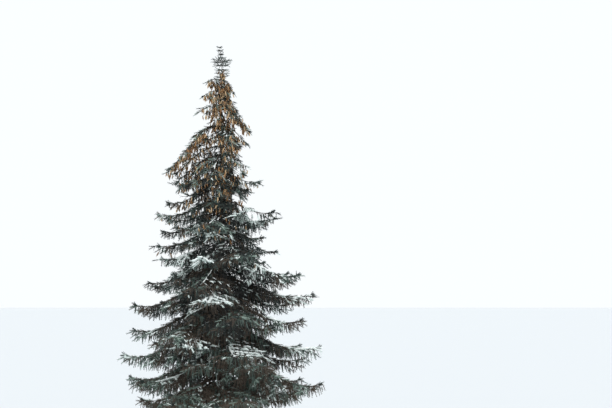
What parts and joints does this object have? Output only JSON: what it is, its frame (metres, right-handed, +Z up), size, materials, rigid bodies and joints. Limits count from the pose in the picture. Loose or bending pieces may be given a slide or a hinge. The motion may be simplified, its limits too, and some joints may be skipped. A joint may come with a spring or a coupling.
{
  "type": "norway spruce tree",
  "caption": "Open-grown spruce: a straight trunk with whorled boughs, hanging branchlets, ripe cones near the top and a dusting of snow.",
  "frame": {"origin": "middle of the flat cut under the trunk, at ground level", "axes": "+Z up along the trunk, +X to the right and +Y away as the picture sees the tree"},
  "size_m": [5.3529, 5.7938, 11],
  "materials": {
    "bark": "rough",
    "needles": "matte"
  },
  "bodies": {
    "root": {"bough_13_back": "bark", "bough_13_front": "bark", "bough_13_left": "bark", "bough_13_right": "bark", "bough_14_front": "bark", "bough_14_left": "bark", "bough_14_right": "bark", "foliage_01_back": "needles", "foliage_01_left": "needles", "foliage_01_right": "needles", "foliage_02_front": "needles", "foliage_02_left": "needles", "foliage_02_right": "needles", "foliage_03_back": "needles", "foliage_03_left": "needles", "foliage_03_right": "needles", "foliage_04_front": "needles", "foliage_04_left": "needles", "foliage_04_right": "needles", "foliage_05_back": "needles", "foliage_05_front": "needles", "foliage_05_left": "needles", "foliage_05_right": "needles", "foliage_06_back": "needles", "foliage_06_front": "needles", "foliage_06_left": "needles", "foliage_06_right": "needles", "foliage_07_back": "needles", "foliage_07_front": "needles", "foliage_07_left": "needles", "foliage_07_right": "needles", "foliage_08_back": "needles", "foliage_08_front": "needles", "foliage_08_left": "needles", "foliage_08_right": "needles", "foliage_09_back": "needles", "foliage_09_front": "needles", "foliage_09_left": "needles", "foliage_09_right": "needles", "foliage_10_back": "needles", "foliage_10_front": "needles", "foliage_10_left": "needles", "foliage_10_right": "needles", "foliage_11_back": "needles", "foliage_11_front": "needles", "foliage_11_left": "needles", "foliage_11_right": "needles", "foliage_12_back": "needles", "foliage_12_front": "needles", "foliage_12_left": "needles", "foliage_12_right": "needles", "foliage_13_back": "needles", "foliage_13_front": "needles", "foliage_13_left": "needles", "foliage_13_right": "needles", "foliage_14_front": "needles", "foliage_14_left": "needles", "foliage_14_right": "needles", "foliage_leader": "needles", "trunk": "bark"}
  },
  "joints": []
}
